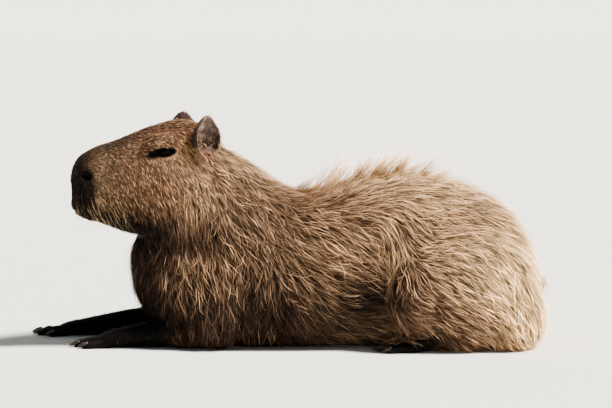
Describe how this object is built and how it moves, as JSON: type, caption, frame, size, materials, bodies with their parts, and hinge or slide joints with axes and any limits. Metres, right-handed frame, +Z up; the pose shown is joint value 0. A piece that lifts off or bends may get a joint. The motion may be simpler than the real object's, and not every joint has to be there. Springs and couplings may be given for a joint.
{
  "type": "lying capybara model",
  "caption": "Life-size still model of a capybara lying on its belly with its forelegs stretched forward and its head raised.",
  "frame": {"origin": "on the floor under the middle of the belly, on the flat the belly rests on", "axes": "-X towards the head, -Y to the animal's left side, +Z up; the body lies along X"},
  "size_m": [1.0943, 0.4101, 0.4808],
  "materials": {
    "fur": "coarse straight fur, golden brown streaked with dark brown",
    "dark_skin": "bare or thinly haired blackish skin",
    "ear_skin": "thin matt greyish skin",
    "eye": "wet, glossy, almost black",
    "claw": "dull dark horn"
  },
  "bodies": {
    "root": {"head": "fur", "neck": "fur", "torso": "fur", "tail": "dark_skin", "foreleg_left": "fur", "foreleg_right": "fur", "hind_leg_left": "fur", "hind_leg_right": "fur", "forefoot_left": "dark_skin", "forefoot_right": "dark_skin", "hindfoot_left": "dark_skin", "hindfoot_right": "dark_skin", "ear_left": "ear_skin", "ear_right": "ear_skin", "eye_left": "eye", "eye_right": "eye", "claw_fore_left_1": "claw", "claw_fore_left_2": "claw", "claw_fore_left_3": "claw", "claw_fore_left_4": "claw", "claw_fore_right_1": "claw", "claw_fore_right_2": "claw", "claw_fore_right_3": "claw", "claw_fore_right_4": "claw", "claw_hind_left_1": "claw", "claw_hind_left_2": "claw", "claw_hind_left_3": "claw", "claw_hind_right_1": "claw", "claw_hind_right_2": "claw", "claw_hind_right_3": "claw"}
  },
  "joints": []
}
